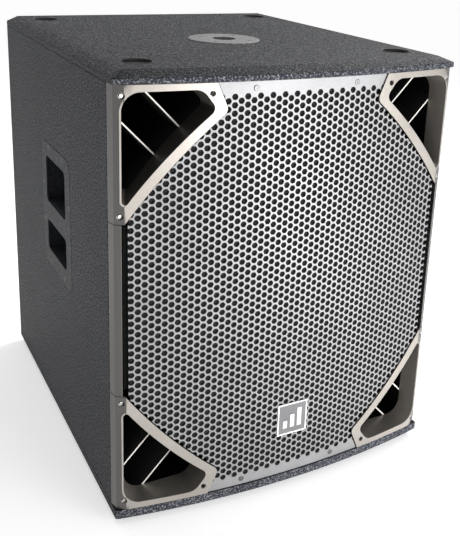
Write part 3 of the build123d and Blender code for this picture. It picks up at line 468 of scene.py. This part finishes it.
def grille():
    """The flat sheet: punched cells, plain margins, and the outline cut out of them."""
    left = -COLUMN * (COLUMNS - 1)
    low = MIDDLE_Z - PITCH * (ROWS - 1) / 2
    blocks = [field(left, low, ROWS, True), field(left + COLUMN, low + PITCH / 2, ROWS - 1, True)]
    for base in (low - 2 * PITCH, low + ROWS * PITCH):
        blocks.append(field(left, base, 2, False))
    for base in (low - 1.5 * PITCH, low + (ROWS - 0.5) * PITCH):
        blocks.append(field(left + COLUMN, base, 2, False))
    select_only(blocks[0])
    for block in blocks:
        block.select_set(True)
    bpy.ops.object.join()
    piece = bpy.context.object
    piece.name = "grille_sheet"
    bpy.ops.object.mode_set(mode="EDIT")
    bpy.ops.mesh.select_all(action="SELECT")
    bpy.ops.mesh.remove_doubles(threshold=SAME_CORNER)
    bpy.ops.mesh.normals_make_consistent(inside=False)
    bpy.ops.object.mode_set(mode="OBJECT")
    everywhere = lambda centre: True
    cut_away(piece, (GRILLE_LOW.x, 0, 0), (-1, 0, 0), everywhere)
    cut_away(piece, (GRILLE_HIGH.x, 0, 0), (1, 0, 0), everywhere)
    cut_away(piece, (0, 0, GRILLE_LOW.z), (0, 0, -1), everywhere)
    cut_away(piece, (0, 0, GRILLE_HIGH.z), (0, 0, 1), everywhere)
    for level in (1, -1):
        split_level(piece, MIDDLE_Z + level * SHOULDER)
    for side in (1, -1):
        for level in (1, -1):
            shoulder = lambda centre: centre.x * side > 0 and (centre.z - MIDDLE_Z) * level > SHOULDER
            arm = lambda centre: centre.x * side > 0 and 0 < (centre.z - MIDDLE_Z) * level < SHOULDER
            cut_away(piece, (side * SHOULDER_POINT[0], 0, MIDDLE_Z + level * SHOULDER_POINT[1]),
                     (side * SHOULDER_NORMAL[0], 0, level * SHOULDER_NORMAL[1]), shoulder)
            for angle in ARC_ANGLES:
                nx, nz = math.cos(angle), math.sin(angle)
                point = (side * (ARC_CENTRE[0] + nx * ARC_RADIUS), 0,
                         MIDDLE_Z + level * (ARC_CENTRE[1] + nz * ARC_RADIUS))
                cut_away(piece, point, (side * nx, 0, level * nz), arm)
    return piece


def roll_to_bow(piece):
    """Lays the flat sheet on a cylinder of the cabinet's bow."""
    front = GRILLE_LOW.y
    bpy.ops.object.select_all(action="DESELECT")
    bpy.ops.mesh.primitive_cylinder_add(vertices=720, radius=BOW_RADIUS - (front - cad_box[0][1]), depth=1.0,
                                        location=(0, cad_box[0][1] + BOW_RADIUS, MIDDLE_Z))
    roll = bpy.context.object
    select_only(piece)
    bpy.ops.object.mode_set(mode="EDIT")
    bpy.ops.mesh.select_all(action="SELECT")
    bpy.ops.transform.translate(value=(0, front - AHEAD, 0))
    bpy.ops.object.mode_set(mode="OBJECT")
    apply_modifier(piece, "SHRINKWRAP", target=roll, wrap_method="PROJECT", use_project_y=True,
                   use_positive_direction=True)
    bpy.data.objects.remove(roll)
    apply_modifier(piece, "SOLIDIFY", thickness=SHEET, offset=-1.0)


grille_sheet = grille()
roll_to_bow(grille_sheet)
select_only(grille_sheet)
bpy.ops.object.shade_smooth_by_angle(angle=math.radians(38))
grille_coat = finish(
    "grille_coat", lacquer,
    {"Pale": (0.34, 0.34, 0.345, 1.0), "Dark": (0.26, 0.26, 0.265, 1.0), "Flakes": 1800.0, "Height": 0.0001,
     "Gloss": 0.40},
    Metallic=0.6)
paint(grille_sheet, grille_coat)
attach(grille_sheet, "cabinet")
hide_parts("grille")


# Foam behind the grille --------------------------------------------------------------------------
# A sheet of open-cell black foam, glued to the back of the grille to keep dust off the driver.

foam_black = finish(
    "foam_black", grain,
    {"Base": (0.006, 0.006, 0.007, 1.0), "Fleck": (0.03, 0.03, 0.032, 1.0), "Grain": 640.0, "Height": 0.002,
     "Low roughness": 0.85, "High roughness": 1.0})
paint(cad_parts["grille_foam"], foam_black)


# Badge -------------------------------------------------------------------------------------------
# A small square plate riveted to the grille: brushed grey, with a white raised border and three
# white bars that climb like a level meter. It carries no name.

BADGE_LOW, BADGE_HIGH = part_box("badge")
BADGE_MIDDLE = (BADGE_LOW + BADGE_HIGH) / 2
BORDER = 0.0022
RELIEF = 0.0005
BARS = ((-0.012, 0.012), (0.0, 0.021), (0.012, 0.030))
BAR_WIDTH = 0.007
BAR_FOOT = -0.015
PLATE_ROUNDING = 0.00025
BAR_ROUNDING = 0.0003


def block(name, size, place):
    """A plain cuboid at its place."""
    bpy.ops.object.select_all(action="DESELECT")
    bpy.ops.mesh.primitive_cube_add(size=1, location=place)
    piece = bpy.context.object
    piece.name = name
    bpy.ops.object.mode_set(mode="EDIT")
    bpy.ops.mesh.select_all(action="SELECT")
    bpy.ops.transform.resize(value=size, center_override=place)
    bpy.ops.object.mode_set(mode="OBJECT")
    bpy.ops.object.transform_apply()
    return piece


def badge_plate():
    """The plate, with its border raised by the relief."""
    size = BADGE_HIGH - BADGE_LOW
    size.y -= RELIEF
    plate = block("badge_plate", size, BADGE_MIDDLE + Vector((0, RELIEF / 2, 0)))
    plate.data.materials.append(badge_grey)
    plate.data.materials.append(badge_white)
    pick_faces(plate, lambda face: face.normal.y < -0.9)
    bpy.ops.object.mode_set(mode="EDIT")
    bpy.ops.mesh.inset(thickness=BORDER)
    bpy.ops.object.mode_set(mode="OBJECT")
    pick_faces(plate, lambda face: face.normal.y < -0.9 and (face.center - BADGE_MIDDLE).xz.length > BORDER)
    bpy.ops.object.mode_set(mode="EDIT")
    bpy.ops.mesh.extrude_region_move(TRANSFORM_OT_translate={"value": (0, -RELIEF, 0)})
    bpy.ops.object.mode_set(mode="OBJECT")
    for face in plate.data.polygons:
        face.material_index = 1 if face.center.y < BADGE_LOW.y + 0.9 * RELIEF else 0
    apply_modifier(plate, "BEVEL", width=PLATE_ROUNDING, segments=2, limit_method="ANGLE",
                   angle_limit=math.radians(40))
    return plate


def badge_bar(number, x, height):
    """One raised bar, standing on the common foot line."""
    foot = BADGE_MIDDLE.z + BAR_FOOT
    depth = 2 * RELIEF
    place = Vector((BADGE_MIDDLE.x + x, BADGE_LOW.y + depth / 2, foot + height / 2))
    bar = block(f"badge_bar_{number}", (BAR_WIDTH, depth, height), place)
    bar.data.materials.append(badge_white)
    apply_modifier(bar, "BEVEL", width=BAR_ROUNDING, segments=2)
    return bar


badge_grey = finish(
    "badge_grey", lacquer,
    {"Pale": (0.22, 0.22, 0.225, 1.0), "Dark": (0.16, 0.16, 0.165, 1.0), "Flakes": 2500.0, "Height": 0.00005,
     "Gloss": 0.35},
    Metallic=0.6)
badge_white = finish(
    "badge_white", grain,
    {"Base": (0.86, 0.86, 0.86, 1.0), "Fleck": (0.92, 0.92, 0.92, 1.0), "Grain": 300.0, "Height": 0.00005,
     "Low roughness": 0.3, "High roughness": 0.45})
badge = badge_plate()
bars = [badge_bar(number, x, height) for number, (x, height) in enumerate(BARS, 1)]
for piece in [badge] + bars:
    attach(piece, "cabinet")
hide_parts("badge")


# Screws ------------------------------------------------------------------------------------------
# Pan-head wood screws with cross recesses, in black oxide. Those through the grille and the trims'
# outer corners carry a painted highlight on their crowns, and the ones under the feet are bright zinc.

bright_zinc = finish(
    "bright_zinc", lacquer,
    {"Pale": (0.72, 0.71, 0.68, 1.0), "Dark": (0.58, 0.57, 0.55, 1.0), "Flakes": 900.0, "Height": 0.00005,
     "Gloss": 0.22},
    Metallic=1.0)
black_oxide = finish(
    "black_oxide", lacquer,
    {"Pale": (0.07, 0.07, 0.072, 1.0), "Dark": (0.035, 0.035, 0.036, 1.0), "Flakes": 900.0, "Height": 0.00005,
     "Gloss": 0.32},
    Metallic=0.7)


BLACK_OXIDE = (0.015, 0.015, 0.015, 1.0)
OUTER_SCREWS = 0.19
ALL_SCREWS = 0.0


def crown_painted_highlight(name, pale, dark, beyond):
    """Black oxide, with a painted highlight on the crowns of the heads that lie beyond a distance from the
    middle.
    """
    made = finish(
        name, lacquer, {"Pale": pale, "Dark": dark, "Flakes": 900.0, "Height": 0.00005, "Gloss": 0.22},
        Metallic=0.9)
    tree = made.node_tree
    place = add_node(tree, "SeparateXYZ", Vector=add_node(tree, "TexCoord").outputs["Object"])
    across = math_node(tree, "ABSOLUTE", place.outputs["X"])
    where = add_node(tree, "MapRange", Value=across, From_Min=beyond, From_Max=beyond + 0.01)
    facing = add_node(tree, "SeparateXYZ", Vector=add_node(tree, "NewGeometry").outputs["Normal"])
    crown = add_node(tree, "MapRange", Value=facing.outputs["Y"], From_Min=-0.8, From_Max=-0.97)
    crown_highlight = math_node(tree, "MULTIPLY", where.outputs[0], crown.outputs[0])
    colour = add_node(tree, "MixRGB", Fac=crown_highlight, Color1=BLACK_OXIDE, Color2=sprayed_colour(tree))
    use_colour(tree, colour.outputs[0])
    return made


# Painted highlight on the crowns of the outer trim screws and of all grille screws.
trim_screw_finish = crown_painted_highlight(
    "trim_screw", (0.72, 0.71, 0.68, 1.0), (0.58, 0.57, 0.55, 1.0), OUTER_SCREWS)
grille_screw_finish = crown_painted_highlight(
    "grille_screw", (0.20, 0.20, 0.20, 1.0), (0.15, 0.15, 0.15, 1.0), ALL_SCREWS)
paint(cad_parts["trim_screws"], trim_screw_finish)
paint(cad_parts["grille_screws"], grille_screw_finish)
paint(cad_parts["foot_screws"], bright_zinc)
for node in ("woofer_bolts", "handle_screws", "flange_screws", "dish_screws", "speaker_socket_screws"):
    paint(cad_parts[node], black_oxide)


# Bass driver -------------------------------------------------------------------------------------
# An 18 inch driver behind the grille: black steel basket, ribbed paper cone and cap, doped cloth
# surround and spider, copper coil, and a ferrite magnet between steel plates.

steel = finish(
    "motor_steel", lacquer,
    {"Pale": (0.55, 0.53, 0.46, 1.0), "Dark": (0.42, 0.40, 0.34, 1.0), "Flakes": 400.0, "Height": 0.0001,
     "Gloss": 0.3},
    Metallic=0.95)
basket_black = finish(
    "basket_black", grain,
    {"Base": (0.02, 0.02, 0.021, 1.0), "Fleck": (0.05, 0.05, 0.05, 1.0), "Grain": 800.0, "Height": 0.0003,
     "Low roughness": 0.4, "High roughness": 0.6})
ferrite = finish(
    "ferrite", grain,
    {"Base": (0.035, 0.035, 0.037, 1.0), "Fleck": (0.08, 0.08, 0.08, 1.0), "Grain": 300.0, "Height": 0.0003,
     "Low roughness": 0.5, "High roughness": 0.8})
paper = finish(
    "cone_paper", grain,
    {"Base": (0.018, 0.018, 0.019, 1.0), "Fleck": (0.05, 0.048, 0.045, 1.0), "Grain": 380.0, "Height": 0.0006,
     "Low roughness": 0.8, "High roughness": 0.95})
doped_cloth = finish(
    "doped_cloth", grain,
    {"Base": (0.03, 0.026, 0.02, 1.0), "Fleck": (0.07, 0.06, 0.045, 1.0), "Grain": 1100.0, "Height": 0.0003,
     "Low roughness": 0.5, "High roughness": 0.75})
copper = finish(
    "coil_copper", lacquer,
    {"Pale": (0.80, 0.42, 0.24, 1.0), "Dark": (0.62, 0.28, 0.14, 1.0), "Flakes": 1400.0, "Height": 0.0001,
     "Gloss": 0.2},
    Metallic=1.0)
rubber = finish(
    "moulded_rubber", grain,
    {"Base": (0.014, 0.014, 0.015, 1.0), "Fleck": (0.035, 0.035, 0.036, 1.0), "Grain": 520.0,
     "Height": 0.0003, "Low roughness": 0.6, "High roughness": 0.85})
DRIVER = (
    ("woofer_basket", basket_black, "basket_black"),
    ("woofer_top_plate", steel, "motor_steel"),
    ("woofer_magnet", ferrite, "magnet_ferrite"),
    ("woofer_back_plate", steel, "motor_steel"),
    ("woofer_cone", paper, "cone_paper"),
    ("woofer_dust_cap", paper, "cone_paper"),
    ("voice_coil", copper, "coil_copper"),
    ("woofer_surround", doped_cloth, "treated_cloth"),
    ("woofer_spider", doped_cloth, "treated_cloth"),
    ("woofer_gasket", rubber, "gasket_rubber"),
)
for node, material, slot in DRIVER:
    paint(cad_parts[node], material)


# Bar handles, stacking cups and connector dish ---------------------------------------------------
# Black moulded plastic with a fine spark-eroded grain. The handle and the dish are screwed into
# recesses in the ply, and the cups are pushed into shallow pockets in the top.

black_plastic = finish(
    "black_plastic", grain,
    {"Base": (0.022, 0.022, 0.024, 1.0), "Fleck": (0.05, 0.05, 0.053, 1.0), "Grain": 1300.0,
     "Height": 0.00025, "Low roughness": 0.38, "High roughness": 0.6})
handle_plastic = finish(
    "handle_plastic", grain,
    {"Base": (0.013, 0.014, 0.017, 1.0), "Fleck": (0.045, 0.047, 0.054, 1.0), "Grain": 700.0,
     "Height": 0.0008, "Low roughness": 0.40, "High roughness": 0.65},
    Specular_IOR_Level=0.16)
for node in ("handle_left", "handle_right"):
    paint(rounded_copy(node, 0.0008), handle_plastic)
for node in ("connector_dish", "speaker_socket_1", "speaker_socket_2"):
    paint(rounded_copy(node, 0.0005), black_plastic)
paint(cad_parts["stacking_cups"], black_plastic)


# Pole socket -------------------------------------------------------------------------------------
# A round flange and tube, cast in light alloy and blasted, held in the top by four screws.

blasted_alloy = finish(
    "blasted_alloy", grain,
    {"Base": (0.13, 0.13, 0.132, 1.0), "Fleck": (0.38, 0.38, 0.38, 1.0), "Grain": 620.0, "Height": 0.0006,
     "Low roughness": 0.42, "High roughness": 0.6},
    Metallic=0.45)
paint(rounded_copy("pole_socket", 0.0004), blasted_alloy)


# Feet --------------------------------------------------------------------------------------------
# Tapered rubber feet, one under each stacking cup, each held by a sunk screw.

for node in ("foot_front_left", "foot_rear_left", "foot_front_right", "foot_rear_right"):
    paint(rounded_copy(node, 0.0008), rubber)


# Studio: floor, camera and lights ----------------------------------------------------------------
# A pale seamless floor, an overhead softbox, one in front, a low one near it, and a soft white room
# that is darker to the sides.

FLOOR_SIZE = 60.0
FLOOR_WHITE = (0.92, 0.92, 0.92, 1.0)
WHITE = (1.0, 1.0, 1.0, 1.0)
FLOOR_GLOW = 0.44
CAMERA_PLACE = (-0.5698, -1.2293, 0.8224)
AZIMUTH, ELEVATION, ROLL = 28.74, 16.44, 2.49
SENSOR = 36.0
FOCAL_SHARE = 1.5362
SHIFT = (-0.0608, -0.183)

bpy.ops.object.select_all(action="DESELECT")
bpy.ops.mesh.primitive_plane_add(size=FLOOR_SIZE, location=(0, 0, 0))
floor = bpy.context.object
floor.name = "floor"
pale = bpy.data.materials.new("pale_floor")
pale.use_nodes = True
for socket, value in (("Base Color", FLOOR_WHITE), ("Roughness", 1.0), ("Specular IOR Level", 0.0),
                      ("Emission Color", WHITE), ("Emission Strength", FLOOR_GLOW)):
    pale.node_tree.nodes["Principled BSDF"].inputs[socket].default_value = value
floor.data.materials.append(pale)

camera = bpy.data.objects.new("camera", bpy.data.cameras.new("camera"))
bpy.context.scene.collection.objects.link(camera)
turn = (Matrix.Rotation(math.radians(-AZIMUTH), 4, "Z")
        @ Matrix.Rotation(math.radians(90 - ELEVATION), 4, "X")
        @ Matrix.Rotation(math.radians(ROLL), 4, "Z"))
camera.matrix_world = Matrix.Translation(CAMERA_PLACE) @ turn
camera.data.sensor_width = SENSOR
camera.data.lens = FOCAL_SHARE * SENSOR
camera.data.shift_x, camera.data.shift_y = SHIFT
bpy.context.scene.camera = camera


def softbox(name, place, aim, size, power):
    """A rectangular light at place, pointed at aim."""
    lamp = bpy.data.lights.new(name, "AREA")
    lamp.shape = "RECTANGLE"
    lamp.size, lamp.size_y = size
    lamp.energy = power
    light = bpy.data.objects.new(name, lamp)
    bpy.context.scene.collection.objects.link(light)
    light.location = place
    light.rotation_euler = (Vector(aim) - Vector(place)).to_track_quat("-Z", "Y").to_euler()
    light.visible_camera = False


softbox("overhead", place=(1.4, 0.5, 2.0), aim=(0.0, 0.0, 0.3), size=(1.0, 1.0), power=40.0)
softbox("key", place=(0.65, -1.9, 0.45), aim=(0.0, -0.2, 0.35), size=(1.0, 0.9), power=17.0)
softbox("low", place=(0.42, -1.0, 0.16), aim=(0.0, -0.3, 0.35), size=(0.5, 0.4), power=3.2)
world = bpy.data.worlds.new("white_room")
world.use_nodes = True
sky = world.node_tree
towards = add_node(sky, "SeparateXYZ", Vector=add_node(sky, "TexCoord").outputs["Generated"])
rise = add_node(sky, "MapRange", Value=towards.outputs["Z"], From_Min=0.0, From_Max=0.9, To_Min=1.0,
                To_Max=0.6)
sideways = math_node(sky, "ABSOLUTE", towards.outputs["X"])
turn_side = add_node(sky, "MapRange", Value=sideways, From_Min=0.45, From_Max=0.9, To_Min=1.0, To_Max=0.3)
room = math_node(sky, "MULTIPLY", rise.outputs[0], turn_side.outputs[0])
sky.links.new(room, sky.nodes["Background"].inputs["Strength"])
sky.nodes["Background"].inputs["Color"].default_value = WHITE
bpy.context.scene.world = world
bpy.context.scene.view_settings.view_transform = "Standard"
